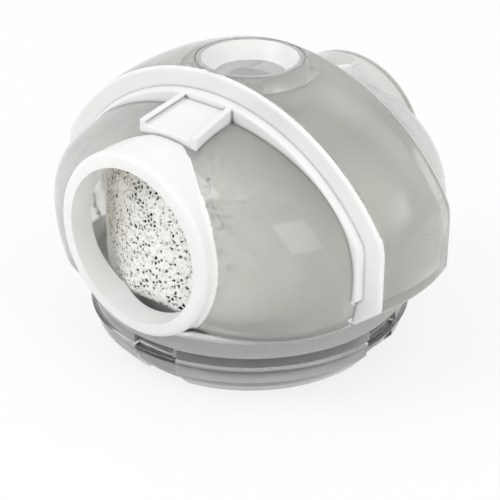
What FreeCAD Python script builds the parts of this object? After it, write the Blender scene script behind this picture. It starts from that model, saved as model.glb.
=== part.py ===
# Heat and moisture exchanger with a finger-press valve, for a 22 mm fitting.
# Millimetres, +Z up, origin at the centre of the base. The two inlets face -Y and +Y,
# and the raised saddle strap runs across the top from -X to +X.
import FreeCAD
import Part
import math
import os

V = FreeCAD.Vector
UP = V(0, 0, 1)
FORWARD = V(0, 1, 0)

# Slotted collar that seats in a 22 mm ring
fitting_radius = 11.0
collar_wall = 1.1
collar_height = 3.4
lead_in_height = 1.4
lead_in_depth = 1.2
bead_height = 2.5
bead_bulge = 0.4
bead_thickness = 0.46
slot_count = 4
slot_turn = 4.5
slot_width = 3.3
slot_roof = 0.1
slot_depth = 0.3

# Spigot, air tube and valve seat inside the collar
spigot_height = 1.85
spigot_wall = 1.2
spigot_clearance = 0.05
tube_bore_radius = 7.7
tube_wall = 0.8
tube_recess = 0.5
seat_bore_radius = 5.8
seat_gap = 0.05
seat_thickness = 0.8
seat_lip_height = 0.15
seat_lip_width = 0.5

# Foam support grid
grid_thickness = 0.75
spoke_count = 6
spoke_width = 1.0
hub_wall = 1.1
hub_rise = 0.35
grid_ring_radius = 4.9
grid_ring_width = 0.7

# Clear dome: neck, flange and the two lobes
dome_wall = 1.0
neck_step = 0.2
neck_height = 1.1
flange_overhang = 0.9
flange_slope_height = 0.8
flange_edge_height = 0.3
flange_edge_round = 0.12
lobe_overhang_x = 1.2
lobe_overhang_y = 0.25
lobe_foot_tuck = 0.5
lobe_middle_rise = 5.0
lobe_crown_rise = 8.1
lobe_floor_thickness = 0.5
plan_power = 3.25
side_power = 2.1
end_power = 3.6
outline_points = 24
foot_stations = (1.0, 0.5)
crown_stations = (0.0, 0.28, 0.52, 0.71, 0.85, 0.93, 0.975, 0.993)

# Saddle strap over the lobes, with a ledge along both of its edges
strap_half_length = 3.93
strap_overhang = 3.34
strap_crown_radius = 16.6
strap_shoulder_radius = 3.0
strap_rise = 2.9
strap_foot_slope = 0.84
strap_foot_round = 0.9
strap_edge_round = 0.3
ledge_inset = 1.25
ledge_width = 0.57
ledge_edge_round = 0.2

# Inlet mouths
inlet_bore_radius = 5.4
inlet_wall = 1.0
inlet_rise = 6.1
inlet_stand_off = 0.55
inlet_lip_round = 0.45
inlet_blend = 0.5

# Tapered lug on the crest of each lobe
lug_near_half_width = 2.2
lug_far_half_width = 2.5
lug_reach = 4.3
lug_near_height = 0.62
lug_far_height = 0.5
lug_root_depth = 1.6
lug_rim_width = 0.5
lug_rim_height = 0.3
lug_edge_round = 0.1

# Press button, its stem and the guide boss in the strap
button_radius = 3.65
button_clearance = 0.08
button_rim_width = 0.35
button_dish_depth = 1.15
button_dish_floor = 2.5
button_dish_round = 0.25
button_floor = 0.4
button_skirt_wall = 0.6
button_skirt_height = 2.0
button_rib_half_width = 1.2
button_rib_height = 0.5
boss_wall = 0.8
boss_depth = 2.3
stem_radius = 1.5
stem_clearance = 0.06
stem_collar_radius = 2.4
stem_collar_height = 0.7
stem_neck_radius = 1.0
stem_tip_length = 0.8
stem_tip_radius = 0.8
button_travel = 1.4
button_floor_room = 0.3

# Valve disc and return spring
disc_radius = 6.9
disc_thickness = 0.55
disc_gap = 0.06
disc_bore_clearance = 0.02
spring_length = 3.6
spring_mean_radius = 2.0
spring_wire_radius = 0.16
spring_turns = 5.0
spring_end_gap = 0.05

# Foam core
foam_side_gap = 0.1
foam_wall_gap = 0.25
foam_floor_gap = 0.02
foam_height = 10.7
foam_bore_radius = 2.9

# How far cutting bodies run past what they cut
cut_margin = 1.0

# Places that follow from the sizes above
neck_radius = fitting_radius + neck_step
neck_bore_radius = neck_radius - dome_wall
neck_top = collar_height + neck_height
spigot_radius = neck_bore_radius - spigot_clearance
spigot_top = collar_height + spigot_height
flange_radius = neck_radius + flange_overhang
flange_top = neck_top + flange_slope_height + flange_edge_height
lobe_half_x = neck_radius + lobe_overhang_x
lobe_half_y = neck_radius + lobe_overhang_y
lobe_middle = neck_top + lobe_middle_rise
lobe_crown = lobe_middle + lobe_crown_rise
strap_radius = neck_radius + strap_overhang
strap_crown = lobe_crown + strap_rise
strap_centre = strap_crown - strap_crown_radius
inlet_height = neck_top + inlet_rise
inlet_radius = inlet_bore_radius + inlet_wall
inlet_end = lobe_half_y + inlet_stand_off
button_hole_radius = button_radius + button_clearance
button_top = strap_centre + math.sqrt(strap_crown_radius ** 2 - button_hole_radius ** 2)
button_hole_bottom = button_top - button_skirt_height - button_travel - button_floor_room
grid_bottom = spigot_top - grid_thickness
hub_top = spigot_top + hub_rise
hub_radius = stem_radius + stem_clearance + hub_wall
disc_top = grid_bottom - disc_gap
disc_bottom = disc_top - disc_thickness
seat_lip_top = disc_bottom - button_travel - seat_gap
seat_top = seat_lip_top - seat_lip_height
collar_on_stem = hub_top + spring_length
foam_bottom = spigot_top + foam_floor_gap
foam_top = foam_bottom + foam_height


def cylinder(radius, bottom, top):
    """An upright cylinder on the main axis."""
    return Part.makeCylinder(radius, top - bottom, V(0, 0, bottom), UP)


def pipe(outer, inner, bottom, top):
    """An upright tube on the main axis."""
    return cylinder(outer, bottom, top).cut(cylinder(inner, bottom, top))


def slab(half_length, bottom, top, half_width):
    """A block centred on the main axis, half_length each way along Y."""
    corner = V(-half_width, -half_length, bottom)
    return Part.makeBox(2 * half_width, 2 * half_length, top - bottom, corner)


def revolve(edges):
    """A solid turned about the main axis from a closed outline in the XZ plane."""
    face = Part.Face(Part.Wire(edges))
    return face.revolve(V(0, 0, 0), UP, 360)


def outline(points):
    """Straight edges through (radius, height) points, closed."""
    corners = [V(r, 0, z) for r, z in points]
    loop = corners + corners[:1]
    return [Part.makeLine(a, b) for a, b in zip(loop, loop[1:])]


def save(name, shape):
    """Writes one piece, cleaned of needless seams."""
    clean = shape.removeSplitter()
    clean.exportStep("parts/" + name + ".step")


def strap_outline(inset):
    """Half section of the strap's body: crown arc, shoulder arc, side and foot cone."""
    side = strap_radius - inset
    shoulder_x = strap_radius - strap_shoulder_radius
    reach = strap_crown_radius - strap_shoulder_radius
    shoulder_z = strap_centre + math.sqrt(reach ** 2 - shoulder_x ** 2)
    crown_radius = strap_crown_radius - inset
    shoulder_radius = strap_shoulder_radius - inset
    tilt = math.atan2(shoulder_z - strap_centre, shoulder_x)
    tangent = V(crown_radius * math.cos(tilt), 0, strap_centre + crown_radius * math.sin(tilt))
    half = (tilt + math.pi / 2) / 2
    crown_mid = V(crown_radius * math.cos(half), 0, strap_centre + crown_radius * math.sin(half))
    shoulder_mid = V(
        shoulder_x + shoulder_radius * math.cos(tilt / 2),
        0,
        shoulder_z + shoulder_radius * math.sin(tilt / 2),
    )
    apex = V(0, 0, strap_centre + crown_radius)
    side_top = V(side, 0, shoulder_z)
    lift = inset * math.sqrt(1 + strap_foot_slope ** 2)
    side_bottom = V(side, 0, neck_top + lift + (side - neck_radius) * strap_foot_slope)
    root = neck_radius - inset
    foot_root = V(root, 0, neck_top + lift - inset * strap_foot_slope)
    neck_end = V(root, 0, collar_height)
    return [
        Part.Arc(apex, crown_mid, tangent).toShape(),
        Part.Arc(tangent, shoulder_mid, side_top).toShape(),
        *rounded_corner(side_top, side_bottom, foot_root, strap_foot_round - inset),
        Part.makeLine(foot_root, neck_end),
        Part.makeLine(neck_end, V(0, 0, collar_height)),
        Part.makeLine(V(0, 0, collar_height), apex),
    ]


def rounded_corner(start, corner, end, radius):
    """Two straight edges that meet in an arc, or in a sharp corner when no radius is left."""
    if radius <= 0:
        return [Part.makeLine(start, corner), Part.makeLine(corner, end)]
    back = (start - corner).normalize()
    onward = (end - corner).normalize()
    half = back.getAngle(onward) / 2
    first = corner + back * (radius / math.tan(half))
    last = corner + onward * (radius / math.tan(half))
    middle = corner + (back + onward).normalize() * (radius / math.sin(half) - radius)
    return [
        Part.makeLine(start, first),
        Part.Arc(first, middle, last).toShape(),
        Part.makeLine(last, end),
    ]


def strap_body(inset, half_length, edge_round):
    """The part of the turned strap body that lies within half_length of the XZ plane."""
    body = revolve(strap_outline(inset))
    reach = strap_radius + cut_margin
    band = body.common(slab(half_length, 0, strap_crown + cut_margin, reach))
    if edge_round > 0:
        band = band.makeFillet(edge_round, arch_edges(band, half_length))
    return band


def arch_edges(band, half_length):
    """Edges of the band's two flat faces that follow its outer surface."""
    picked = []
    for edge in band.Edges:
        box = edge.BoundBox
        flat = box.YLength < 1e-6 and abs(abs(box.YMin) - half_length) < 1e-6
        if flat and box.ZMin > neck_top + strap_edge_round:
            picked.append(edge)
    return picked


def plan_curve(half_x, half_y, height):
    """A squarish closed curve at one height, round at its corners."""
    points = []
    for k in range(outline_points):
        angle = 2 * math.pi * k / outline_points
        c, s = math.cos(angle), math.sin(angle)
        size = (abs(c) ** plan_power + abs(s) ** plan_power) ** (-1 / plan_power)
        points.append(V(half_x * size * c, half_y * size * s, height))
    curve = Part.BSplineCurve()
    curve.interpolate(Points=points, PeriodicFlag=True)
    return Part.Wire(curve.toShape())


def lobe_body(inset, bottom):
    """The rounded body whose two ends are the lobes, inset from its outer surface."""
    half_x = lobe_half_x - inset
    half_y = lobe_half_y - inset
    rise = lobe_crown_rise - inset
    sections = []
    for drop in foot_stations:
        tuck = lobe_foot_tuck * drop ** 2
        height = lobe_middle - drop * (lobe_middle - bottom)
        sections.append(plan_curve(half_x - tuck, half_y - tuck, height))
    for t in crown_stations:
        x = half_x * (1 - t ** side_power) ** (1 / side_power)
        y = half_y * (1 - t ** end_power) ** (1 / end_power)
        sections.append(plan_curve(x, y, lobe_middle + t * rise))
    return Part.makeLoft(sections, True, False)


def lug(direction):
    """Tapered plate with raised side rims on the crest of one lobe."""
    near = direction * strap_half_length
    far = direction * (strap_half_length + lug_reach)
    near_top = lobe_crown + lug_near_height
    far_y = strap_half_length + lug_reach
    fall = (1 - (far_y / lobe_half_y) ** end_power) ** (1 / end_power)
    far_top = lobe_middle + lobe_crown_rise * fall + lug_far_height
    plate = tapered_bar(
        near, -lug_near_half_width, lug_near_half_width, near_top,
        far, -lug_far_half_width, lug_far_half_width, far_top,
    )
    for side in (-1, 1):
        rim = tapered_bar(
            near,
            side * lug_near_half_width,
            side * (lug_near_half_width - lug_rim_width),
            near_top + lug_rim_height,
            far,
            side * lug_far_half_width,
            side * (lug_far_half_width - lug_rim_width),
            far_top + lug_rim_height,
        )
        plate = plate.fuse(rim)
    corners = [e for e in plate.Edges if e.BoundBox.ZMin > far_top - lug_root_depth / 2]
    return plate.makeFillet(lug_edge_round, corners)


def tapered_bar(near_y, near_a, near_b, near_top, far_y, far_a, far_b, far_top):
    """A straight bar along Y between two upright rectangles."""
    wires = []
    for y, a, b, top in ((near_y, near_a, near_b, near_top), (far_y, far_a, far_b, far_top)):
        bottom = top - lug_root_depth
        corners = [V(a, y, bottom), V(b, y, bottom), V(b, y, top), V(a, y, top)]
        wires.append(Part.makePolygon(corners + corners[:1]))
    return Part.makeLoft(wires, True, True)


def inlet_tube(radius, reach):
    """A cylinder through both inlets."""
    return Part.makeCylinder(radius, 2 * reach, V(0, -reach, inlet_height), FORWARD)


def lobes_with_mouths():
    """The lobes with a rounded inlet mouth blended into each."""
    mouths = inlet_tube(inlet_radius, inlet_end)
    mouths = mouths.makeFillet(inlet_lip_round, rim_edges(mouths, inlet_radius))
    body = lobe_body(0, flange_top).fuse(mouths)
    tubes = [face for face in body.Faces if isinstance(face.Surface, Part.Cylinder)]
    seams = [e for tube in tubes for e in tube.Edges if isinstance(e.Curve, Part.BSplineCurve)]
    return body.makeFillet(inlet_blend, seams)


def dome_housing():
    """Clear moulded shell: neck, flange, lobes, strap, inlet mouths and lugs."""
    neck = cylinder(neck_radius, collar_height, flange_top)
    flange = revolve(outline([
        (0, neck_top),
        (neck_radius, neck_top),
        (flange_radius, neck_top + flange_slope_height),
        (flange_radius, flange_top),
        (0, flange_top),
    ]))
    flange = flange.makeFillet(flange_edge_round, rim_edges(flange, flange_radius))
    outer = strap_body(0, strap_half_length, strap_edge_round)
    ledge = strap_body(ledge_inset, strap_half_length + ledge_width, ledge_edge_round)
    solid = lobes_with_mouths().fuse([neck, flange, outer, ledge, lug(-1), lug(1)])
    cavity_floor = flange_top + lobe_floor_thickness
    cavity = lobe_body(dome_wall, cavity_floor)
    hollow = strap_body(dome_wall, strap_half_length - dome_wall, 0)
    neck_bore = cylinder(neck_bore_radius, collar_height - cut_margin, cavity_floor + cut_margin)
    airway = inlet_tube(inlet_bore_radius, inlet_end + cut_margin)
    shell = solid.cut([cavity, hollow, neck_bore, airway])
    boss_bottom = button_top - boss_depth
    boss = cylinder(button_hole_radius + boss_wall, boss_bottom, button_top - dome_wall / 2)
    shell = shell.fuse(boss.common(slab(strap_half_length, 0, strap_crown, strap_radius)))
    return shell.cut(cylinder(button_hole_radius, button_hole_bottom, strap_crown + cut_margin))


def rim_edges(solid, radius):
    """Circular edges of one radius."""
    return [e for e in solid.Edges if hasattr(e.Curve, "Radius") and abs(e.Curve.Radius - radius) < 1e-6]


def collar_outline():
    """Half section of the slotted skirt, the spigot and the air tube."""
    skirt_bore = fitting_radius - collar_wall
    web_bottom = bead_height + bead_thickness
    tube_radius = tube_bore_radius + tube_wall
    spigot_bore = spigot_radius - spigot_wall
    return [
        (fitting_radius - lead_in_depth, 0),
        (fitting_radius, lead_in_height),
        (fitting_radius, bead_height),
        (neck_radius, bead_height),
        (neck_radius, collar_height),
        (spigot_radius, collar_height),
        (spigot_radius, spigot_top),
        (spigot_bore, spigot_top),
        (spigot_bore, grid_bottom),
        (tube_bore_radius, grid_bottom),
        (tube_bore_radius, tube_recess),
        (tube_radius, tube_recess),
        (tube_radius, web_bottom),
        (skirt_bore, web_bottom),
        (skirt_bore, lead_in_height),
        (skirt_bore - lead_in_depth / 2, 0),
    ]


def base_collar():
    """Slotted 22 mm collar with its bead, valve seat and foam grid."""
    ring = revolve(outline(collar_outline()))
    for k in range(slot_count):
        cutter = slot_cutter()
        cutter.rotate(V(0, 0, 0), UP, slot_turn + 360 * k / slot_count)
        ring = ring.cut(cutter)
    ring = ring.fuse([bead(), valve_seat(), foam_grid()])
    return ring.cut(cylinder(stem_radius + stem_clearance, 0, hub_top + cut_margin))


def slot_cutter():
    """A block across the front of the skirt that spares all but slot_depth of its outer wall."""
    block = Part.makeBox(
        slot_width,
        fitting_radius,
        collar_height - slot_roof + cut_margin,
        V(-slot_width / 2, -fitting_radius - cut_margin, -cut_margin),
    )
    straight = fitting_radius - slot_depth
    foot = straight - lead_in_depth
    return block.cut(revolve(outline([
        (0, -cut_margin),
        (foot, -cut_margin),
        (foot, 0),
        (straight, lead_in_height),
        (straight, collar_height),
        (0, collar_height),
    ])))


def bead():
    """Thin rounded ring that bridges the slots and stops the collar in its seat."""
    half = bead_thickness / 2
    root = fitting_radius - bead_thickness
    round_centre = fitting_radius + bead_bulge - half
    low = V(round_centre, 0, bead_height - half)
    high = V(round_centre, 0, bead_height + half)
    nose = V(round_centre + half, 0, bead_height)
    return revolve([
        Part.makeLine(V(root, 0, bead_height - half), low),
        Part.Arc(low, nose, high).toShape(),
        Part.makeLine(high, V(root, 0, bead_height + half)),
        Part.makeLine(V(root, 0, bead_height + half), V(root, 0, bead_height - half)),
    ])


def valve_seat():
    """Flat ring across the air tube with a raised sealing lip."""
    root_radius = tube_bore_radius + tube_wall / 2
    plate = pipe(root_radius, seat_bore_radius, seat_top - seat_thickness, seat_top)
    lip = pipe(seat_bore_radius + seat_lip_width, seat_bore_radius, seat_top, seat_lip_top)
    return plate.fuse(lip)


def foam_grid():
    """Hub, ring and spokes that carry the foam over the valve disc."""
    outer = spigot_radius - spigot_wall / 2
    ring_outer = grid_ring_radius + grid_ring_width / 2
    parts = [
        cylinder(hub_radius, grid_bottom, hub_top),
        pipe(ring_outer, ring_outer - grid_ring_width, grid_bottom, spigot_top),
    ]
    for k in range(spoke_count):
        spoke = Part.makeBox(outer, spoke_width, grid_thickness, V(0, -spoke_width / 2, grid_bottom))
        spoke.rotate(V(0, 0, 0), UP, 360 * k / spoke_count)
        parts.append(spoke)
    return parts[0].fuse(parts[1:])


def press_button():
    """Dished finger pad with a guide skirt, an underside rib and the valve stem."""
    skirt_bottom = button_top - button_skirt_height
    dish_bottom = button_top - button_dish_depth
    floor_bottom = button_top - button_dish_depth - button_floor
    pad = cylinder(button_radius, skirt_bottom, button_top)
    dish = Part.makeCone(
        button_dish_floor, button_radius - button_rim_width, button_dish_depth, V(0, 0, dish_bottom), UP
    )
    dish = dish.makeFillet(button_dish_round, rim_edges(dish, button_dish_floor))
    hollow = cylinder(button_radius - button_skirt_wall, skirt_bottom, floor_bottom)
    rib = slab(
        button_radius - button_skirt_wall / 2, floor_bottom - button_rib_height, floor_bottom,
        button_rib_half_width,
    )
    stem = cylinder(stem_radius, disc_top, floor_bottom)
    collar = cylinder(stem_collar_radius, collar_on_stem, collar_on_stem + stem_collar_height)
    neck = cylinder(stem_neck_radius, disc_bottom, disc_top)
    tip = Part.makeCone(
        stem_tip_radius, stem_radius, stem_tip_length, V(0, 0, disc_bottom - stem_tip_length), UP
    )
    return pad.cut([dish, hollow]).fuse([rib, stem, collar, neck, tip])


def valve_disc():
    """Soft disc held in the groove at the end of the stem."""
    disc = pipe(disc_radius, stem_neck_radius + disc_bore_clearance, disc_bottom, disc_top)
    return disc.makeFillet(disc_thickness / 3, rim_edges(disc, disc_radius))


def return_spring():
    """Coil spring round the stem, between the hub and the stem's collar."""
    bottom = hub_top + spring_end_gap + spring_wire_radius
    length = spring_length - 2 * (spring_end_gap + spring_wire_radius)
    helix = Part.makeHelix(length / spring_turns, length, spring_mean_radius)
    helix.translate(V(0, 0, bottom))
    section = Part.makeCircle(spring_wire_radius, V(spring_mean_radius, 0, bottom), FORWARD)
    return Part.Wire(helix.Edges).makePipeShell([Part.Wire(section)], True, True)


def foam_core():
    """Foam cylinder that fills the dome, with a central bore for stem and spring."""
    foam = pipe(neck_bore_radius - foam_side_gap, foam_bore_radius, foam_bottom, foam_top)
    room = lobe_body(dome_wall + foam_wall_gap, collar_height)
    return foam.common(room)


def main():
    os.makedirs("parts", exist_ok=True)
    save("dome_housing", dome_housing())
    save("base_collar", base_collar())
    save("press_button", press_button())
    save("valve_disc", valve_disc())
    save("return_spring", return_spring())
    save("foam_core", foam_core())


main()
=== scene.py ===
"""Looks of a clear heat and moisture exchanger: moulded shell, open-cell foam, button, spring and stage."""
import math

import bmesh
import bpy
import numpy as np
from mathutils import Matrix, Vector
from mathutils.bvhtree import BVHTree


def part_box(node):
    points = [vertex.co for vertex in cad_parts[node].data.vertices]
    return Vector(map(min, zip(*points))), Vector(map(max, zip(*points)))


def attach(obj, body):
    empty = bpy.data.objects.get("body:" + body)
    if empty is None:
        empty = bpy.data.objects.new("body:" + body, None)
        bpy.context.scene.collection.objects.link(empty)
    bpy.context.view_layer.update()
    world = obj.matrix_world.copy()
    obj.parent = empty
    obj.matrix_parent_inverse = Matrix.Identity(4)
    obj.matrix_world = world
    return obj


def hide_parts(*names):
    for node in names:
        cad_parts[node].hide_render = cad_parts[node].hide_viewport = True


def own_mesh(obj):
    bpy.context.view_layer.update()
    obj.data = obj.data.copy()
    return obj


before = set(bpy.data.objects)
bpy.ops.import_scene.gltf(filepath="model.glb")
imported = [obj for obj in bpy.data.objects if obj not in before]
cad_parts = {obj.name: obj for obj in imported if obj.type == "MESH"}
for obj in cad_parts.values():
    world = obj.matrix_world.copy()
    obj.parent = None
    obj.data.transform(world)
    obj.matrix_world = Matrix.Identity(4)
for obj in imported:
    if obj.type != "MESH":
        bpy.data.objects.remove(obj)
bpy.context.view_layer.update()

bl_info = {
    "name": "Heat and moisture exchanger",
    "version": (1, 0, 0),
    "blender": (4, 5, 0),
    "location": "View3D > Sidebar > Exchanger",
    "description": "Builds the surfaces of a clear exchanger round its packed frame",
    "category": "Object",
}

MM = 0.001
PHOTO_SIDE = 500
SENSOR = 36.0

# Moulded plastic: noise scales, the span of the noise that is used, and what it changes
FLOW_SIZE = 250.0
FLOW_BEND = 0.6
FLOW_SPAN = (0.3, 0.7)
FLOW_TINT = 0.96
GRAIN_SIZE = 4000.0
GRAIN_SHARE = 0.35
GRAIN_DEPTH = 0.02 * MM
HAZE_SPREAD = 0.25
# CREASE_SHADE_SPAN: span of the occlusion over which inner corners take painted shade.
CREASE_SHADE_SPAN = (0.45, 0.8)

# Numbers of the materials of the dome, the collar and the button, in the order in which they are given
# NECK is a grey copy of the plastic that paints shade.
# WHITE_HIGHLIGHT is a near-white copy of the plastic that paints highlights.
POLISHED, MATT, WHITE_HIGHLIGHT, NECK, FLANGE = range(5)
# THICK and GROOVED are darker copies of the collar's plastic that paint shade.
OUTER, THICK, GROOVED = range(3)
CLEAR, DISH_WALL = range(2)
RING_FACING = 0.7

# Foam: noise scales, and spans given as from low, from high, to low, to high
WOBBLE_SIZE = 1500.0
WOBBLE = 0.25 * MM
HOLLOW_SPAN = (0.1, 0.32)
OPEN_SPAN = (0.2, 0.75, 0.12, 1.0)
# PORE_SPAN and COVERED_PORES set where the open cells take their painted shade.
PORE_SPAN = (0.15, 0.7)
COVERED_PORES = (0.0, 0.6, 0.0, 0.5)
PATCH_SIZE = 700.0
PATCH_SPAN = (0.3, 0.6, 0.35, 1.0)
PATCH_CORE = 0.35
# The stipple paints shade into the finest cells.
STIPPLE_SIZE = 4500.0
STIPPLE_SPAN = (0.5, 0.64)
STIPPLE_AMOUNT = (0.0, 1.0, 0.3, 0.8)
FUZZ_SIZE = 9000.0
FUZZ_DEPTH = 0.03 * MM
CAP_STEPS = 3
BORE_STEPS = 4
RAY_REACH = 1.2
WINDOW_FADE = 4.0

# Wire and disc
STREAK_SIZE = 6000.0
STREAK_TINT = 0.7
WIRE_HAZE = (0.2, 0.4)
WIRE_SIDE = 1.02
WIRE_END = 1.1
DISC_GRAIN = 7000.0
DISC_TINT = 0.9
DISC_HAZE = (0.45, 0.6)

# Meshes and stage
MERGE = 0.0004 * MM
SLOPE_STEP = 0.0001 * MM
CROWN = 0.999
WHITE = (1.0, 1.0, 1.0, 1.0)
PALE = (0.85, 0.85, 0.85, 1.0)
DRY = 0.9
HORIZON_SPAN = (0.05, 0.7)
KEY_PLACE = Vector((-0.10, -0.16, 0.22))
FILL_PLACE = Vector((0.24, -0.02, 0.14))
LAMP_WIDTH = 0.16


def number_prop(name, description, default, **options):
    """A number that a user may set."""
    return bpy.props.FloatProperty(name=name, description=description, default=default, **options)


def length_prop(name, description, default):
    """A length in metres that a user may set."""
    return number_prop(name, description, default, subtype="DISTANCE")


def angle_prop(name, description, degrees):
    """An angle that a user may set, with its default in degrees."""
    return number_prop(name, description, math.radians(degrees), subtype="ANGLE")


def share_prop(name, description, default):
    """A share from 0 to 1 that a user may set."""
    return number_prop(name, description, default, min=0.0, max=1.0)


def colour_prop(name, description, default):
    """A colour that a user may set."""
    return bpy.props.FloatVectorProperty(
        name=name, description=description, default=default, subtype="COLOR")


class StageSettings(bpy.types.PropertyGroup):
    """Camera, floor and lamps."""

    azimuth: angle_prop("Azimuth", "Camera's turn from the front", 40.0)
    elevation: angle_prop("Elevation", "Camera's height above the horizon", 27.27)
    distance: length_prop("Distance", "Camera to the point it looks at", 0.104545)
    aim_height: length_prop("Aim height", "Height of the point it looks at", 0.008182)
    focal_pixels: number_prop("Focal length", "Focal length in pixels of the photograph", 1484.7)
    centre_x: number_prop("Centre x", "Pixel column of the aim point", 250.2)
    centre_y: number_prop("Centre y", "Pixel row of the aim point", 215.2)
    floor_radius: length_prop("Floor radius", "Radius of the pale floor", 2.0)
    floor_glow: share_prop(
        "Floor glow", "Share of the floor that shows white, the rest keeps the shadow", 0.8)
    key_power: number_prop("Key lamp", "Power of the soft lamp above the front left", 0.26, subtype="POWER")
    fill_power: number_prop("Fill lamp", "Power of the soft lamp on the right", 0.16, subtype="POWER")
    room_light: number_prop("Room light", "Strength of the even light all round", 0.86)
    horizon: number_prop("Horizon", "Brightness of the dim walls that clear parts mirror", 0.92)


class PlasticSettings(bpy.types.PropertyGroup):
    """Tints, haze and clearness of the shell, the collar and the button."""

    dome_colour: colour_prop("Dome", "Tint of the clear dome", (0.84, 0.84, 0.83))
    dome_clearness: share_prop("Dome clearness", "How much light goes through the polished outside", 0.84)
    haze: share_prop("Haze", "Roughness of the polished outside", 0.07)
    inside_colour: colour_prop("Inside", "Tint of the dome's matt inside", (0.95, 0.95, 0.93))
    inside_haze: share_prop("Inside haze", "Roughness of the matt inside", 0.38)
    # Painted highlight: the strap's edges, the lugs, the inlets' rings and the button's dish wall take this
    # near-white, barely clear plastic, standing for the bright light these clear edges refract and reflect;
    # the flange takes the same colour, less clear.
    edge_colour: colour_prop("Edges", "Colour of the milky edges", (0.99, 0.99, 0.98))
    edge_haze: share_prop("Edge haze", "Roughness of the milky edges", 0.4)
    edge_clearness: share_prop("Edge clearness", "How much light goes through a milky edge", 0.25)
    # Painted shade: the neck takes this grey tint for the shade that falls on it.
    neck_shade_colour: colour_prop("Foot", "Tint of the dome's neck", (0.66, 0.66, 0.64))
    foot_clearness: share_prop("Foot clearness", "How much light goes through the neck", 0.5)
    flange_clearness: share_prop("Flange clearness", "How much light goes through the flange", 0.45)
    # A lighter, warmer tint that the polished outside takes towards the inlets, the strap's feet and the
    # crown.
    pale_tint_colour: colour_prop("Fog", "Tint of the milky parts of the dome", (1.0, 0.99, 0.95))
    pale_tint_start: length_prop("Fog start", "Distance from the middle planes where the fog begins", 9.0 * MM)
    pale_tint_end: length_prop("Fog end", "Distance from the middle planes where the fog is full", 12.0 * MM)
    pale_tint_low: length_prop("Fog low", "Height where the crown's fog begins", 17.0 * MM)
    pale_tint_high: length_prop("Fog high", "Height where the crown's fog is full", 19.5 * MM)
    # Painted shade: the collar's clear plastic is tinted grey, darker on its thick inner parts and its
    # grooves, for the shade in and under the collar.
    shaded_collar_colour: colour_prop("Collar", "Tint of the collar", (0.6, 0.6, 0.59))
    collar_haze: share_prop("Collar haze", "Roughness of the collar's outside", 0.16)
    tube_shade_colour: colour_prop("Tube", "Tint of the collar's thick inner parts", (0.42, 0.42, 0.415))
    tube_haze: share_prop("Tube haze", "Roughness of the collar's inner parts", 0.45)
    groove_shade_colour: colour_prop("Grooves", "Tint of the four shallow slots", (0.55, 0.55, 0.54))
    button_colour: colour_prop("Button", "Tint of the button", (0.99, 0.99, 0.98))
    button_haze: share_prop("Button haze", "Roughness of the button", 0.2)
    button_clearness: share_prop("Button clearness", "How much light goes through the button", 0.74)
    # Painted shade: this dark tint is mixed into the plastic at inner corners, where shade falls.
    crease_shade_colour: colour_prop("Creases", "Tint of the plastic where two faces meet", (0.16, 0.16, 0.155))
    crease_shade_reach: length_prop(
        "Crease reach", "How far the darker tint runs out of an inner corner", 0.35 * MM)
    refraction: number_prop("Refraction", "Index of refraction", 1.47)
    contact_gap: length_prop("Contact gap", "Gap between two clear parts that touch", 0.02 * MM)
    sharp_angle: angle_prop("Sharp angle", "Edges above this angle stay sharp", 32.0)


class ZoneSettings(bpy.types.PropertyGroup):
    """Where the faces of a clear part change from one finish to the next."""

    inside_centre: length_prop("Inside centre", "Height of the point that the dome's inside faces", 9.5 * MM)
    foot_top: length_prop("Foot top", "Height where the neck ends and the flange starts", 4.52 * MM)
    flange_top: length_prop("Flange top", "Height where the flange ends and the lobes start", 5.62 * MM)
    strap_foot: length_prop("Strap foot", "Height where the strap leaves the flange", 5.65 * MM)
    strap_edge: length_prop(
        "Strap edge", "Distance from the middle where the strap's rounded edge begins", 3.62 * MM)
    ledge_edge: length_prop("Ledge edge", "Distance from the middle to the ledge's side", 4.51 * MM)
    ledge_start: length_prop(
        "Ledge start", "Distance from the middle past which the lug stands free", 4.4 * MM)
    lug_end: length_prop("Lug end", "Distance from the middle to the lug's far end", 8.25 * MM)
    lug_half_width: length_prop("Lug half width", "Half width of the lug on each crest", 2.52 * MM)
    lug_bottom: length_prop("Lug bottom", "Height above which faces belong to the lug", 16.75 * MM)
    inlet_height: length_prop("Inlet height", "Height of the inlets' axis", 10.6 * MM)
    bore_edge: length_prop("Bore edge", "Radius just outside the inlet's bore", 5.42 * MM)
    ring_root: length_prop("Ring root", "Distance from the middle where the ring begins", 6.0 * MM)
    ring_outer: length_prop(
        "Ring outside", "Radius past which no face belongs to the inlet's ring", 6.96 * MM)
    fitting: length_prop("Fitting", "Radius of the wall that seats in the 22 mm ring", 11.0 * MM)
    foot_radius: length_prop("Foot radius", "Radius of the collar's outer wall at the bottom", 9.8 * MM)
    foot_slope: number_prop("Foot slope", "Growth of the wall's radius per height in the lead-in", 1.2 / 1.4)
    groove_near: length_prop(
        "Groove near", "Least distance of a groove's floor from the outer wall", 0.22 * MM)
    groove_far: length_prop(
        "Groove far", "Largest distance of a groove's floor from the outer wall", 0.42 * MM)
    groove_top: length_prop("Groove top", "Height of the grooves' upper end", 3.35 * MM)
    dish_floor: length_prop("Dish floor", "Radius of the flat floor of the button's dish", 2.2 * MM)
    dish_edge: length_prop("Dish edge", "Radius of the upper end of the dish's wall", 3.32 * MM)
    dish_slope: number_prop(
        "Dish slope", "Faces that look up more than this belong to the dish's floor", 0.97)
    dish_bottom: length_prop("Dish bottom", "Height of the floor of the button's dish", 18.8 * MM)


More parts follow.
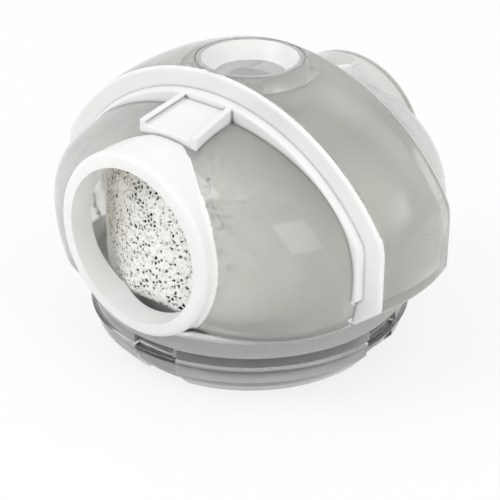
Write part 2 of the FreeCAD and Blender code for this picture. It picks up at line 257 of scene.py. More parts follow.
class LobeSettings(bpy.types.PropertyGroup):
    """The curve of the dome's two lobes."""

    half_x: length_prop("Half width", "Half width across the lobes", 12.4 * MM)
    half_y: length_prop("Half length", "Half length from lobe to lobe", 11.45 * MM)
    foot: length_prop("Foot", "Height where the lobes start", 5.6 * MM)
    floor: length_prop("Floor", "Thickness of the floor inside", 0.5 * MM)
    middle: length_prop("Middle", "Height where the lobes are widest", 9.5 * MM)
    rise: length_prop("Rise", "Widest place to crown", 8.1 * MM)
    tuck: length_prop("Tuck", "How far the foot draws in", 0.5 * MM)
    wall: length_prop("Wall", "Thickness of the wall", 1.0 * MM)
    plan_power: number_prop("Plan power", "How square the lobes are from above", 3.25)
    side_power: number_prop("Side power", "How square the lobes are from the front", 2.1)
    end_power: number_prop("End power", "How square the lobes are from the side", 3.6)
    reach: length_prop("Reach", "Corners this close to the curve take its normal", 0.06 * MM)
    agree: number_prop("Agree", "Least cosine between a face and the curve", 0.92)


class FoamSettings(bpy.types.PropertyGroup):
    """Open-cell foam."""

    cell: length_prop("Cell", "Width of one foam cell", 0.3 * MM)
    depth: length_prop("Depth", "Depth of an open cell", 0.16 * MM)
    fine_step: length_prop("Fine step", "Mesh width where the inlets show the foam", 0.085 * MM)
    coarse_step: length_prop("Coarse step", "Mesh width elsewhere", 0.28 * MM)
    window: angle_prop("Window", "Half width of the stretch that an inlet shows", 38.0)
    strand_colour: colour_prop("Strands", "Colour of the cell walls", (0.88, 0.88, 0.85))
    # Painted light and shade: foam behind the clear wall is painted dim, and lighter next to an inlet where
    # light comes in.
    shaded_foam_colour: colour_prop(
        "Covered foam", "Colour of the foam far behind the clear wall", (0.55, 0.54, 0.5))
    lit_colour: colour_prop("Lit foam", "Colour of the covered foam next to an inlet", (0.92, 0.91, 0.85))
    lit_from: length_prop("Lit from", "Distance from the middle where the light of an inlet begins", 5.0 * MM)
    lit_to: length_prop("Lit to", "Distance from the middle where the light of an inlet is full", 9.0 * MM)
    # Painted shade: the open cells are painted near black for the shade inside them.
    pore_shade_colour: colour_prop("Pores", "Colour in the open cells", (0.01, 0.01, 0.01))
    warm_colour: colour_prop("Warm", "Colour of the worn upper left side", (0.66, 0.61, 0.51))
    # Painted shade: the finest cells are stippled dark for the shade inside them.
    stipple_shade_colour: colour_prop("Stipple", "Colour of the finest cells", (0.22, 0.2, 0.17))
    warm_centre: bpy.props.FloatVectorProperty(
        name="Warm centre", description="Middle of the worn patch", subtype="TRANSLATION",
        default=(-7.2 * MM, -7.0 * MM, 13.8 * MM))
    warm_reach: length_prop("Warm reach", "Radius of the worn patch", 8.5 * MM)
    window_radius: length_prop("Window radius", "Foam this close to the inlets' axis stands open", 5.5 * MM)
    covered: share_prop("Covered", "Share of a cell's depth where the dome covers the foam", 0.3)


class SpringSettings(bpy.types.PropertyGroup):
    """Return spring and valve disc."""

    turns: number_prop("Turns", "Coils of the spring", 5.0)
    wire_radius: length_prop("Wire radius", "Radius of the wire", 0.15 * MM)
    fixed_end: length_prop("Fixed end", "Height of the hub that the spring stands on", 5.6 * MM)
    length: length_prop("Length", "Hub to stem collar with the button up", 3.6 * MM)
    travel: length_prop("Travel", "How far the button goes down", 1.4 * MM)
    steel_colour: colour_prop("Steel", "Colour of the wire", (0.62, 0.62, 0.63))
    disc_colour: colour_prop("Disc", "Colour of the soft disc", (0.78, 0.78, 0.75))


class ExchangerSettings(bpy.types.PropertyGroup):
    """All sizes and colours of the exchanger's looks."""

    stage: bpy.props.PointerProperty(type=StageSettings)
    plastic: bpy.props.PointerProperty(type=PlasticSettings)
    zones: bpy.props.PointerProperty(type=ZoneSettings)
    lobes: bpy.props.PointerProperty(type=LobeSettings)
    foam: bpy.props.PointerProperty(type=FoamSettings)
    spring: bpy.props.PointerProperty(type=SpringSettings)


def settings():
    """The scene's own copy of all settings."""
    return bpy.context.scene.exchanger


def rgba(colour, share=1.0):
    """A share of a colour, with full opacity."""
    return (*(share * c for c in colour), 1.0)


# Materials

def new_material(name):
    """An empty node material with its shader and output: returns material, tree and shader."""
    material = bpy.data.materials.new(name)
    material.use_nodes = True
    tree = material.node_tree
    tree.nodes.clear()
    output = tree.nodes.new("ShaderNodeOutputMaterial")
    shader = tree.nodes.new("ShaderNodeBsdfPrincipled")
    tree.links.new(shader.outputs[0], output.inputs["Surface"])
    return material, tree, shader


def node(tree, kind, options=None, **inputs):
    """A node with its options set and each named input given a value or a link."""
    made = tree.nodes.new(kind)
    for key, value in (options or {}).items():
        setattr(made, key, value)
    for key, value in inputs.items():
        feed(tree, made.inputs[key.replace("_", " ")], value)
    return made


def feed(tree, socket, value):
    """Links a socket to another, or sets its value."""
    if isinstance(value, bpy.types.NodeSocket):
        tree.links.new(value, socket)
    else:
        socket.default_value = value


def maths(tree, operation, *inputs):
    """One sum on numbers or sockets."""
    made = node(tree, "ShaderNodeMath", {"operation": operation})
    for socket, value in zip(made.inputs, inputs):
        feed(tree, socket, value)
    return made.outputs[0]


def vector_maths(tree, operation, *inputs, output="Vector"):
    """One sum on vectors or sockets."""
    made = node(tree, "ShaderNodeVectorMath", {"operation": operation})
    for socket, value in zip(made.inputs, inputs):
        feed(tree, socket, value)
    return made.outputs[output]


def stretch(tree, value, low, high, to_low=0.0, to_high=1.0):
    """Maps low to high onto to_low to to_high, clamped."""
    made = tree.nodes.new("ShaderNodeMapRange")
    feed(tree, made.inputs["Value"], value)
    for name, number in (("From Min", low), ("From Max", high), ("To Min", to_low), ("To Max", to_high)):
        made.inputs[name].default_value = number
    return made.outputs["Result"]


def blend_colours(tree, factor, first, second):
    """Mixes two colours."""
    made = node(tree, "ShaderNodeMix", {"data_type": "RGBA"})
    for socket, value in ((0, factor), (6, first), (7, second)):
        feed(tree, made.inputs[socket], value)
    return made.outputs[2]


def noise(tree, place, size, detail=2.0, distortion=0.0, output="Fac"):
    """A cloudy pattern."""
    made = node(tree, "ShaderNodeTexNoise", Vector=place, Scale=size, Detail=detail, Distortion=distortion)
    return made.outputs[output]


def object_place(tree):
    """Each point's place in the shared frame."""
    return tree.nodes.new("ShaderNodeTexCoord").outputs["Object"]


def add_bump(tree, shader, height, strength, depth):
    """Lets a height move the shader's normal."""
    bump = node(tree, "ShaderNodeBump", Strength=strength, Distance=depth, Height=height)
    tree.links.new(bump.outputs["Normal"], shader.inputs["Normal"])


def moulded_grain():
    """Shared effect of moulded plastic: soft flow marks and fine haze, as a mask and a bump height."""
    name = "Moulded grain"
    if name in bpy.data.node_groups:
        return bpy.data.node_groups[name]
    group = bpy.data.node_groups.new(name, "ShaderNodeTree")
    face = group.interface
    for label, size in (("Flow size", FLOW_SIZE), ("Grain size", GRAIN_SIZE)):
        face.new_socket(label, in_out="INPUT", socket_type="NodeSocketFloat").default_value = size
    for label in ("Mask", "Height"):
        face.new_socket(label, in_out="OUTPUT", socket_type="NodeSocketFloat")
    start = group.nodes.new("NodeGroupInput")
    end = group.nodes.new("NodeGroupOutput")
    place = object_place(group)
    flow = noise(group, place, start.outputs["Flow size"], detail=3.0, distortion=FLOW_BEND)
    grain = noise(group, place, start.outputs["Grain size"])
    group.links.new(flow, end.inputs["Mask"])
    group.links.new(maths(group, "MULTIPLY_ADD", grain, GRAIN_SHARE, flow), end.inputs["Height"])
    return group


def pale_tint_mask(tree):
    """Where the dome takes a lighter, warmer tint: towards the inlets, the strap's feet and the crown."""
    look = settings().plastic
    axes = node(tree, "ShaderNodeSeparateXYZ", Vector=object_place(tree)).outputs
    ends = stretch(tree, maths(tree, "ABSOLUTE", axes["Y"]), look.pale_tint_start, look.pale_tint_end)
    feet = stretch(tree, maths(tree, "ABSOLUTE", axes["X"]), look.pale_tint_start, look.pale_tint_end)
    crown = stretch(tree, axes["Z"], look.pale_tint_low, look.pale_tint_high)
    return maths(tree, "MAXIMUM", maths(tree, "MAXIMUM", ends, feet), crown)


def clear_plastic(name, colour, haze, clearness=1.0, pale_tint_colour=None):
    """Moulded plastic in the given tint and clearness, clear on polished faces and used as near-white and
    grey copies that paint highlights and shade elsewhere, with a little haze and soft flow marks; painted
    shade darkens its inner corners, and a lighter tint, when given, is mixed in towards the inlets, the
    strap's feet and the crown.
    """
    look = settings().plastic
    material, tree, shader = new_material(name)
    grain = node(tree, "ShaderNodeGroup", {"node_tree": moulded_grain()}).outputs
    flow = stretch(tree, grain["Mask"], *FLOW_SPAN)
    body = blend_colours(tree, flow, rgba(colour, FLOW_TINT), rgba(colour))
    # Mixes in the lighter tint where the mask gives it.
    if pale_tint_colour:
        body = blend_colours(tree, pale_tint_mask(tree), body, rgba(pale_tint_colour))
    # Painted shade: the plastic darkens towards its inner corners.
    crease_occlusion = node(tree, "ShaderNodeAmbientOcclusion", {"samples": 6, "only_local": True},
                   Distance=look.crease_shade_reach)
    unshaded_share = stretch(tree, crease_occlusion.outputs["AO"], *CREASE_SHADE_SPAN)
    body = blend_colours(tree, unshaded_share, rgba(look.crease_shade_colour), body)
    tree.links.new(body, shader.inputs["Base Color"])
    rough = stretch(tree, grain["Mask"], *FLOW_SPAN, haze * (1 - HAZE_SPREAD), haze * (1 + HAZE_SPREAD))
    tree.links.new(rough, shader.inputs["Roughness"])
    add_bump(tree, shader, grain["Height"], strength=0.25, depth=GRAIN_DEPTH)
    shader.inputs["Transmission Weight"].default_value = clearness
    shader.inputs["IOR"].default_value = look.refraction
    return material


def open_cells(tree, place, scale):
    """How deep in an open foam cell each place lies, 0 on the strands to 1 in the widest cells."""
    wobble = noise(tree, place, WOBBLE_SIZE, detail=1.0, output="Color")
    moved = vector_maths(tree, "MULTIPLY_ADD", wobble, (WOBBLE,) * 3, place)
    edges = node(tree, "ShaderNodeTexVoronoi", {"feature": "DISTANCE_TO_EDGE"}, Vector=moved, Scale=scale)
    cells = node(tree, "ShaderNodeTexVoronoi", {"feature": "F1"}, Vector=moved, Scale=scale)
    chance = vector_maths(tree, "DOT_PRODUCT", cells.outputs["Color"], (1.0, 0.0, 0.0), output="Value")
    hollow = stretch(tree, edges.outputs["Distance"], *HOLLOW_SPAN)
    return maths(tree, "MULTIPLY", hollow, stretch(tree, chance, *OPEN_SPAN))


def foam_material():
    """Open-cell foam: pale strands with a fine dark stipple of painted shade, open cells filled with painted
    shade, a worn patch, and foam behind the wall painted dim, lighter next to the inlets as painted light.
    """
    look = settings().foam
    material, tree, shader = new_material("open_cell_foam")
    place = object_place(tree)
    away = vector_maths(tree, "DISTANCE", place, look.warm_centre, output="Value")
    near = stretch(tree, away, look.warm_reach, PATCH_CORE * look.warm_reach)
    patches = stretch(tree, noise(tree, place, PATCH_SIZE, detail=3.0), *PATCH_SPAN)
    warm = maths(tree, "MULTIPLY", near, patches)
    strands = blend_colours(tree, warm, rgba(look.strand_colour), rgba(look.warm_colour))
    rest = node(tree, "ShaderNodeAttribute", {"attribute_name": "rest_place"}).outputs["Vector"]
    shown = node(tree, "ShaderNodeAttribute", {"attribute_name": "shown"}).outputs["Fac"]
    # Painted shade: a fine dark stipple for the shade in the finest cells.
    amount = stretch(tree, warm, *STIPPLE_AMOUNT)
    stipple = maths(tree, "MULTIPLY", stretch(tree, noise(tree, rest, STIPPLE_SIZE), *STIPPLE_SPAN), amount)
    strands = blend_colours(tree, stipple, strands, rgba(look.stipple_shade_colour))
    pore = maths(tree, "MULTIPLY", open_cells(tree, rest, 1 / look.cell), shown)
    # Painted shade: the open cells are coloured near black.
    opened = blend_colours(tree, stretch(tree, pore, *PORE_SPAN), strands, rgba(look.pore_shade_colour))
    # Painted light and shade: foam behind the wall is dim, lighter next to the inlets, with its cells painted
    # dark.
    side = node(tree, "ShaderNodeSeparateXYZ", Vector=place).outputs["Y"]
    light = stretch(tree, maths(tree, "ABSOLUTE", side), look.lit_from, look.lit_to)
    behind = blend_colours(tree, light, rgba(look.shaded_foam_colour), rgba(look.lit_colour))
    behind = blend_colours(tree, stretch(tree, pore, *COVERED_PORES), behind, rgba(look.pore_shade_colour))
    colour = blend_colours(tree, stretch(tree, shown, look.covered, 1.0), behind, opened)
    tree.links.new(colour, shader.inputs["Base Color"])
    shader.inputs["Roughness"].default_value = DRY
    add_bump(tree, shader, noise(tree, place, FUZZ_SIZE), strength=0.6, depth=FUZZ_DEPTH)
    return material


def wire_material():
    """Drawn steel wire with fine scratches."""
    steel = settings().spring.steel_colour
    material, tree, shader = new_material("drawn_wire")
    streaks = noise(tree, object_place(tree), STREAK_SIZE, detail=3.0)
    body = blend_colours(tree, streaks, rgba(steel), rgba(steel, STREAK_TINT))
    tree.links.new(body, shader.inputs["Base Color"])
    tree.links.new(stretch(tree, streaks, *FLOW_SPAN, *WIRE_HAZE), shader.inputs["Roughness"])
    shader.inputs["Metallic"].default_value = 1.0
    return material


def soft_disc_material():
    """Soft milky elastomer with a matt skin."""
    whitish = settings().spring.disc_colour
    material, tree, shader = new_material("soft_disc")
    grain = node(tree, "ShaderNodeGroup", {"node_tree": moulded_grain()}, Grain_size=DISC_GRAIN).outputs
    body = blend_colours(tree, grain["Mask"], rgba(whitish), rgba(whitish, DISC_TINT))
    tree.links.new(body, shader.inputs["Base Color"])
    tree.links.new(stretch(tree, grain["Mask"], *FLOW_SPAN, *DISC_HAZE), shader.inputs["Roughness"])
    add_bump(tree, shader, grain["Height"], strength=0.3, depth=GRAIN_DEPTH)
    return material


# Meshes

def add_object(name, data):
    """A new object at the origin."""
    made = bpy.data.objects.new(name, data)
    bpy.context.scene.collection.objects.link(made)
    return made


def aim_at(item, direction):
    """Turns a camera or lamp to look along a direction."""
    item.rotation_euler = direction.to_track_quat("-Z", "Y").to_euler()


def link_piece(name, mesh, *materials):
    """A new object at the origin with its materials."""
    mesh.materials.clear()
    for material in materials:
        mesh.materials.append(material)
    return add_object(name, mesh)


def shade_smooth(mesh):
    """Smooth shading on every face."""
    mesh.polygons.foreach_set("use_smooth", [True] * len(mesh.polygons))


def keep_result(piece, modifier):
    """Keeps what a modifier makes of a piece as its plain mesh."""
    graph = bpy.context.evaluated_depsgraph_get()
    made = bpy.data.meshes.new_from_object(piece.evaluated_get(graph), depsgraph=graph)
    piece.modifiers.remove(modifier)
    plain = piece.data
    piece.data = made
    bpy.data.meshes.remove(plain)
    made.name = piece.name


def smooth_copy(node_name, piece_name, *materials):
    """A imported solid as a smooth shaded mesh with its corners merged."""
    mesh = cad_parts[node_name].data.copy()
    mesh.name = piece_name
    work = bmesh.new()
    work.from_mesh(mesh)
    bmesh.ops.remove_doubles(work, verts=work.verts, dist=MERGE)
    bmesh.ops.dissolve_degenerate(work, edges=work.edges, dist=MERGE)
    work.to_mesh(mesh)
    work.free()
    if mesh.has_custom_normals:
        mesh.attributes.remove(mesh.attributes["custom_normal"])
    shade_smooth(mesh)
    mesh.set_sharp_from_angle(angle=settings().plastic.sharp_angle)
    mesh.update()
    piece = link_piece(piece_name, mesh, *materials)
    weigh_normals(piece)
    return piece


def weigh_normals(piece):
    """Lets large faces lead the shading, so that slivers beside a fillet leave no marks."""
    weigh = piece.modifiers.new("Weighted normals", "WEIGHTED_NORMAL")
    weigh.mode = "FACE_AREA_WITH_ANGLE"
    weigh.keep_sharp = True
    keep_result(piece, weigh)


def sort_faces(piece, choose):
    """Gives each face the material whose number choose returns for its corners, centre and normal."""
    mesh = piece.data
    for face in mesh.polygons:
        corners = [mesh.vertices[k].co for k in face.vertices]
        face.material_index = choose(corners, face.center, face.normal)


def lift_bottom(piece, height, gap):
    """Opens a fine gap where the piece touches the one below it."""
    for vertex in piece.data.vertices:
        if abs(vertex.co.z - height) < gap:
            vertex.co.z = height + gap


def settle(piece, body, replaced):
    """Declares what a finished piece rides on, and hides the imported part it stands for."""
    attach(piece, body)
    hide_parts(replaced)


# Foam

def foam_columns(look, radius):
    """Angles of the foam's mesh columns, close together where an inlet shows them."""
    fine = look.fine_step / radius
    coarse = look.coarse_step / radius
    angles = []
    for side in (-math.pi / 2, math.pi / 2):
        steps = round(2 * look.window / fine)
        angles += [side - look.window + 2 * look.window * k / steps for k in range(steps)]
        gap = math.pi - 2 * look.window
        steps = round(gap / coarse)
        angles += [side + look.window + gap * k / steps for k in range(steps)]
    return angles


def foam_section(look, bore, radius, bottom, top):
    """Closed half section of the foam as (radius, height) points, finest on the outer wall."""
    inset = look.coarse_step / 2
    across = round((radius - bore) / (CAP_STEPS * look.coarse_step))
    up = round((top - bottom - 2 * inset) / look.fine_step)
    inner = round((top - bottom) / (BORE_STEPS * look.coarse_step))
    points = [(bore + (radius - bore - inset) * k / across, bottom) for k in range(across + 1)]
    points += [(radius, bottom + inset + (top - bottom - 2 * inset) * k / up) for k in range(up + 1)]
    points += [(radius - inset - (radius - bore - inset) * k / across, top) for k in range(across + 1)]
    points += [(bore, top - (top - bottom) * k / inner) for k in range(1, inner)]
    return points


def foam_blank():
    """The foam's closed mesh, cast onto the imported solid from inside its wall."""
    look = settings().foam
    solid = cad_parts["foam_core"]
    tree = BVHTree.FromObject(solid, bpy.context.evaluated_depsgraph_get())
    low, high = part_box("foam_core")
    radius = high.x
    bore = min(Vector((v.co.x, v.co.y)).length for v in solid.data.vertices)
    centre_r = (radius + bore) / 2
    centre_z = (low.z + high.z) / 2
    section = foam_section(look, bore, radius, low.z, high.z)
    angles = foam_columns(look, radius)
    points = []
    for angle in angles:
        out = Vector((math.cos(angle), math.sin(angle), 0))
        centre = out * centre_r + Vector((0, 0, centre_z))
        for r, z in section:
            aim = out * (r - centre_r) + Vector((0, 0, z - centre_z))
            hit, _, _, _ = tree.ray_cast(centre, aim.normalized(), aim.length * RAY_REACH)
            points.append(hit if hit else centre + aim)
    rows = len(section)
    columns = len(angles)
    faces = []
    for i in range(columns):
        for k in range(rows):
            a = i * rows + k
            b = i * rows + (k + 1) % rows
            c = ((i + 1) % columns) * rows + (k + 1) % rows
            d = ((i + 1) % columns) * rows + k
            faces.append((a, d, c, b))
    mesh = bpy.data.meshes.new("foam")
    mesh.from_pydata([tuple(p) for p in points], [], faces)
    mesh.update()
    mark_windows(mesh)
    return mesh


def mark_windows(mesh):
    """Keeps how open the foam's cells are at each point: fully where an inlet shows them."""
    look = settings().foam
    axis = settings().zones.inlet_height
    shown = mesh.attributes.new("shown", "FLOAT", "POINT")
    for vertex, place in zip(mesh.vertices, shown.data):
        away = math.hypot(vertex.co.x, vertex.co.z - axis) / look.window_radius
        place.value = max(look.covered, min(1.0, 1.0 + WINDOW_FADE * (1.0 - away)))


def open_cell_tree(material):
    """Geometry nodes that sink open cells into a surface and keep where each point lay before."""
    tree = bpy.data.node_groups.new("Open cells", "GeometryNodeTree")
    face = tree.interface
    face.new_socket("Geometry", in_out="INPUT", socket_type="NodeSocketGeometry")
    face.new_socket("Cell", in_out="INPUT", socket_type="NodeSocketFloat")
    face.new_socket("Depth", in_out="INPUT", socket_type="NodeSocketFloat")
    face.new_socket("Geometry", in_out="OUTPUT", socket_type="NodeSocketGeometry")
    start = tree.nodes.new("NodeGroupInput")
    end = tree.nodes.new("NodeGroupOutput")
    place = tree.nodes.new("GeometryNodeInputPosition").outputs[0]
    scale = maths(tree, "DIVIDE", 1.0, start.outputs["Cell"])
    shown = node(tree, "GeometryNodeInputNamedAttribute", {"data_type": "FLOAT"}, Name="shown")
    pore = maths(tree, "MULTIPLY", open_cells(tree, place, scale), shown.outputs["Attribute"])
    sink = maths(tree, "MULTIPLY", maths(tree, "MULTIPLY", pore, start.outputs["Depth"]), -1.0)
    normal = tree.nodes.new("GeometryNodeInputNormal").outputs[0]
    offset = node(tree, "ShaderNodeVectorMath", {"operation": "SCALE"}, Vector=normal, Scale=sink)
    keep = node(tree, "GeometryNodeStoreNamedAttribute", {"data_type": "FLOAT_VECTOR", "domain": "POINT"},
                Name="rest_place", Value=place, Geometry=start.outputs["Geometry"])
    move = node(tree, "GeometryNodeSetPosition", Geometry=keep.outputs["Geometry"], Offset=offset.outputs[0])
    finish_tree(tree, move.outputs["Geometry"], material, end)
    return tree


def finish_tree(tree, geometry, material, end):
    """Ends a geometry tree in real meshes with their material."""
    real = node(tree, "GeometryNodeRealizeInstances", Geometry=geometry)
    paint = node(tree, "GeometryNodeSetMaterial", Geometry=real.outputs["Geometry"], Material=material)
    tree.links.new(paint.outputs["Geometry"], end.inputs["Geometry"])


def run_tree(piece, tree, **inputs):
    """Runs a geometry tree on a piece and keeps its result as a plain smooth mesh."""
    modifier = piece.modifiers.new("shape", "NODES")
    modifier.node_group = tree
    for item in tree.interface.items_tree:
        if item.item_type == "SOCKET" and item.in_out == "INPUT" and item.name in inputs:
            modifier[item.identifier] = inputs[item.name]
    keep_result(piece, modifier)
    shade_smooth(piece.data)


class EXCHANGER_OT_foam(bpy.types.Operator):
    """Open-cell foam core"""

    bl_idname = "exchanger.foam"
    bl_label = "Foam core"

    def execute(self, context):
        look = settings().foam
        material = foam_material()
        piece = link_piece("foam", foam_blank(), material)
        run_tree(piece, open_cell_tree(material), Cell=look.cell, Depth=look.depth)
        settle(piece, "housing", "foam_core")
        return {"FINISHED"}


# Clear parts

def lobe_level(x, y, z, inset):
    """1 on the lobes' surface at this inset, less within it and more outside."""
    look = settings().lobes
    bottom = look.foot + look.floor if inset else look.foot
    up = np.clip((z - look.middle) / (look.rise - inset), 0, CROWN)
    down = np.clip((look.middle - z) / (look.middle - bottom), 0, 1)
    tuck = look.tuck * down ** 2
    half_x = (look.half_x - inset) * (1 - up ** look.side_power) ** (1 / look.side_power) - tuck
    half_y = (look.half_y - inset) * (1 - up ** look.end_power) ** (1 / look.end_power) - tuck
    power = look.plan_power
    return (np.abs(x / half_x) ** power + np.abs(y / half_y) ** power) ** (1 / power)


def lobe_normals(places, inset):
    """How far points lie from the lobes' surface at this inset, and the surface's normals there."""
    level = lobe_level(*places.T, inset)
    moves = np.eye(3) * SLOPE_STEP
    slopes = [(lobe_level(*(places + move).T, inset) - level) / SLOPE_STEP for move in moves]
    slope = np.stack(slopes, axis=1)
    size = np.linalg.norm(slope, axis=1, keepdims=True)
    return (level - 1) / size[:, 0], slope / size


def read_vectors(items, name):
    """A property of many mesh items as an array of vectors."""
    values = np.empty(len(items) * 3)
    items.foreach_get(name, values)
    return values.reshape(-1, 3)


def even_lobes(piece):
    """Takes corner normals on the lobes from their true curve, free of the mesh's uneven triangles."""
    look = settings().lobes
    mesh = piece.data
    places = read_vectors(mesh.vertices, "co")
    normals = read_vectors(mesh.corner_normals, "vector")
    corners = np.empty(len(mesh.loops), dtype=int)
    mesh.loops.foreach_get("vertex_index", corners)
    sides = [face.loop_total for face in mesh.polygons]
    faces = np.repeat(read_vectors(mesh.polygons, "normal"), sides, axis=0)
    for inset, side in ((0.0, 1.0), (look.wall, -1.0)):
        away, true = lobe_normals(places, inset)
        near = (np.abs(away) < look.reach) & (places[:, 2] > look.foot)
        true = side * true[corners]
        chosen = near[corners] & ((faces * true).sum(axis=1) > look.agree)
        normals[chosen] = true[chosen]
    mesh.normals_split_custom_set(normals.tolist())


def is_edge(corners):
    """Whether a face that looks outwards lies on the strap's edge or on a lug."""
    look = settings().zones
    side = [abs(c.y) for c in corners]
    low = min(c.z for c in corners)
    strap = min(side) > look.strap_edge and max(side) < look.ledge_edge and low > look.strap_foot
    across = max(abs(c.x) for c in corners)
    lug = min(side) > look.ledge_start and max(side) < look.lug_end and across < look.lug_half_width
    return strap or (lug and low > look.lug_bottom)


def from_inlet(corners):
    """Distances of a face's corners from the inlets' axis."""
    return [math.hypot(c.x, c.z - settings().zones.inlet_height) for c in corners]


def on_lobe(corners):
    """Whether all corners of a face lie on the outer curve of the lobes."""
    away = lobe_normals(np.array([tuple(c) for c in corners]), 0.0)[0]
    return np.abs(away).max() < settings().lobes.reach


def dome_face(corners, centre, normal):
    """Number of the material of one face of the dome: polished, matt inside, near-white painted highlight,
    neck grey with painted shade, or flange in the near-white tint.
    """
    look = settings().zones
    outwards = normal.dot(centre - Vector((0, 0, look.inside_centre))) > 0
    near = from_inlet(corners)
    root = min(abs(c.y) for c in corners)
    bore = max(near) < look.bore_edge
    ring = outwards and max(near) < look.ring_outer and (centre.y < 0 or abs(normal.y) > RING_FACING)
    # Bores, rings, strap edges and lugs take the near-white copy that paints their highlights.
    if root > look.ring_root and (bore or (ring and not on_lobe(corners))):
        return WHITE_HIGHLIGHT
    if outwards and is_edge(corners):
        return WHITE_HIGHLIGHT
    top = max(c.z for c in corners)
    if outwards and top < look.flange_top:
        return NECK if top < look.foot_top else FLANGE
    return POLISHED if outwards else MATT


def collar_face(corners, centre, normal):
    """Number of the material of one face of the collar: outer wall, thick inner part or groove, each a grey
    copy of the plastic with painted shade, darkest on the thick inner parts.
    """
    look = settings().zones
    walls = [min(look.fitting, look.foot_radius + look.foot_slope * c.z) for c in corners]
    depths = [wall - math.hypot(c.x, c.y) for wall, c in zip(walls, corners)]
    if min(depths) > look.groove_far:
        return THICK
    return GROOVED if centre.z < look.groove_top and min(depths) > look.groove_near else OUTER


def button_face(corners, centre, normal):
    """Number of the material of one face of the button: clear, or the near-white painted highlight on the
    dish's wall.
    """
    look = settings().zones
    reach = [math.hypot(c.x, c.y) for c in corners]
    wall = min(reach) > look.dish_floor and max(reach) < look.dish_edge and centre.z > look.dish_bottom
    return DISH_WALL if wall and 0 < normal.z < look.dish_slope else CLEAR


class EXCHANGER_OT_dome(bpy.types.Operator):
    """Clear moulded dome with strap, inlets and lugs"""

    bl_idname = "exchanger.dome"
    bl_label = "Dome"

    def execute(self, context):
        look = settings().plastic
        outside = clear_plastic(
            "clear_dome", look.dome_colour, look.haze, look.dome_clearness, look.pale_tint_colour)
        inside = clear_plastic("matt_dome", look.inside_colour, look.inside_haze)
        # Painted highlight: a near-white, barely clear copy of the plastic for the bright edges; the flange
        # takes the same tint, less clear.
        edges = clear_plastic("white_highlight_dome", look.edge_colour, look.edge_haze, look.edge_clearness)
        # Painted shade: the neck takes a grey copy of the plastic.
        foot = clear_plastic("hazy_shaded_neck_dome", look.neck_shade_colour, look.edge_haze, look.foot_clearness)
        flange = clear_plastic("flange_dome", look.edge_colour, look.edge_haze, look.flange_clearness)
        piece = smooth_copy("dome_housing", "dome", outside, inside, edges, foot, flange)
        sort_faces(piece, dome_face)
        even_lobes(piece)
        lift_bottom(piece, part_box("dome_housing")[0].z, look.contact_gap)
        settle(piece, "housing", "dome_housing")
        return {"FINISHED"}


class EXCHANGER_OT_collar(bpy.types.Operator):
    """Slotted collar with its bead, seat and foam grid"""

    bl_idname = "exchanger.collar"
    bl_label = "Collar"

    def execute(self, context):
        look = settings().plastic
        # Painted shade: grey copies of the plastic, darkest on the thick inner parts.
        outside = clear_plastic("clear_collar", look.shaded_collar_colour, look.collar_haze)
        inside = clear_plastic("shaded_thick_collar", look.tube_shade_colour, look.tube_haze)
        grooves = clear_plastic("shaded_grooved_collar", look.groove_shade_colour, look.tube_haze)
        piece = smooth_copy("base_collar", "collar", outside, inside, grooves)
        sort_faces(piece, collar_face)
        settle(piece, "housing", "base_collar")
        return {"FINISHED"}


class EXCHANGER_OT_button(bpy.types.Operator):
    """Press button with its stem"""

    bl_idname = "exchanger.button"
    bl_label = "Button"

    def execute(self, context):
        look = settings().plastic
        clear = clear_plastic("clear_button", look.button_colour, look.button_haze, look.button_clearness)
        # Painted highlight: the dish's wall takes the near-white, barely clear copy.
        whitish = clear_plastic("white_highlight_button", look.edge_colour, look.edge_haze, look.edge_clearness)
        piece = smooth_copy("press_button", "button", clear, whitish)
        sort_faces(piece, button_face)
        settle(piece, "button", "press_button")
        return {"FINISHED"}


def coil_tree(material):
    """Geometry nodes for a round wire coil that stands on the plane it starts from."""
    tree = bpy.data.node_groups.new("Coil", "GeometryNodeTree")
    face = tree.interface
    for name in ("Turns", "Radius", "Height", "Wire"):
        face.new_socket(name, in_out="INPUT", socket_type="NodeSocketFloat")
    face.new_socket("Geometry", in_out="OUTPUT", socket_type="NodeSocketGeometry")
    start = tree.nodes.new("NodeGroupInput")
    end = tree.nodes.new("NodeGroupOutput")
    coil = node(tree, "GeometryNodeCurveSpiral", Resolution=40, Rotations=start.outputs["Turns"],
                Start_Radius=start.outputs["Radius"], End_Radius=start.outputs["Radius"],
                Height=start.outputs["Height"])
    wire = node(tree, "GeometryNodeCurvePrimitiveCircle", Resolution=14, Radius=start.outputs["Wire"])
    body = node(tree, "GeometryNodeCurveToMesh", Curve=coil.outputs["Curve"],
                Profile_Curve=wire.outputs["Curve"], Fill_Caps=True)
    finish_tree(tree, body.outputs["Mesh"], material, end)
    return tree


def coil_spring():
    """The return spring round the stem."""
    look = settings().spring
    low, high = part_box("return_spring")
    material = wire_material()
    spring = link_piece("spring", bpy.data.meshes.new("spring"), material)
    run_tree(spring, coil_tree(material), Turns=look.turns, Radius=high.x - WIRE_SIDE * look.wire_radius,
             Height=high.z - low.z - 2 * WIRE_END * look.wire_radius, Wire=look.wire_radius)
    spring.data.transform(Matrix.Translation((0, 0, low.z + WIRE_END * look.wire_radius)))
    return spring


class EXCHANGER_OT_valve(bpy.types.Operator):
    """Soft valve disc and return spring"""

    bl_idname = "exchanger.valve"
    bl_label = "Valve"

    def execute(self, context):
        disc = smooth_copy("valve_disc", "disc", soft_disc_material())
        settle(disc, "button", "valve_disc")
        spring = coil_spring()
        settle(spring, "housing", "return_spring")
        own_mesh(spring)
        return {"FINISHED"}


# Stage

def camera_back(look):
    """Unit vector from the aim point to the camera."""
    level = math.cos(look.elevation)
    return Vector((math.sin(look.azimuth) * level, -math.cos(look.azimuth) * level, math.sin(look.elevation)))


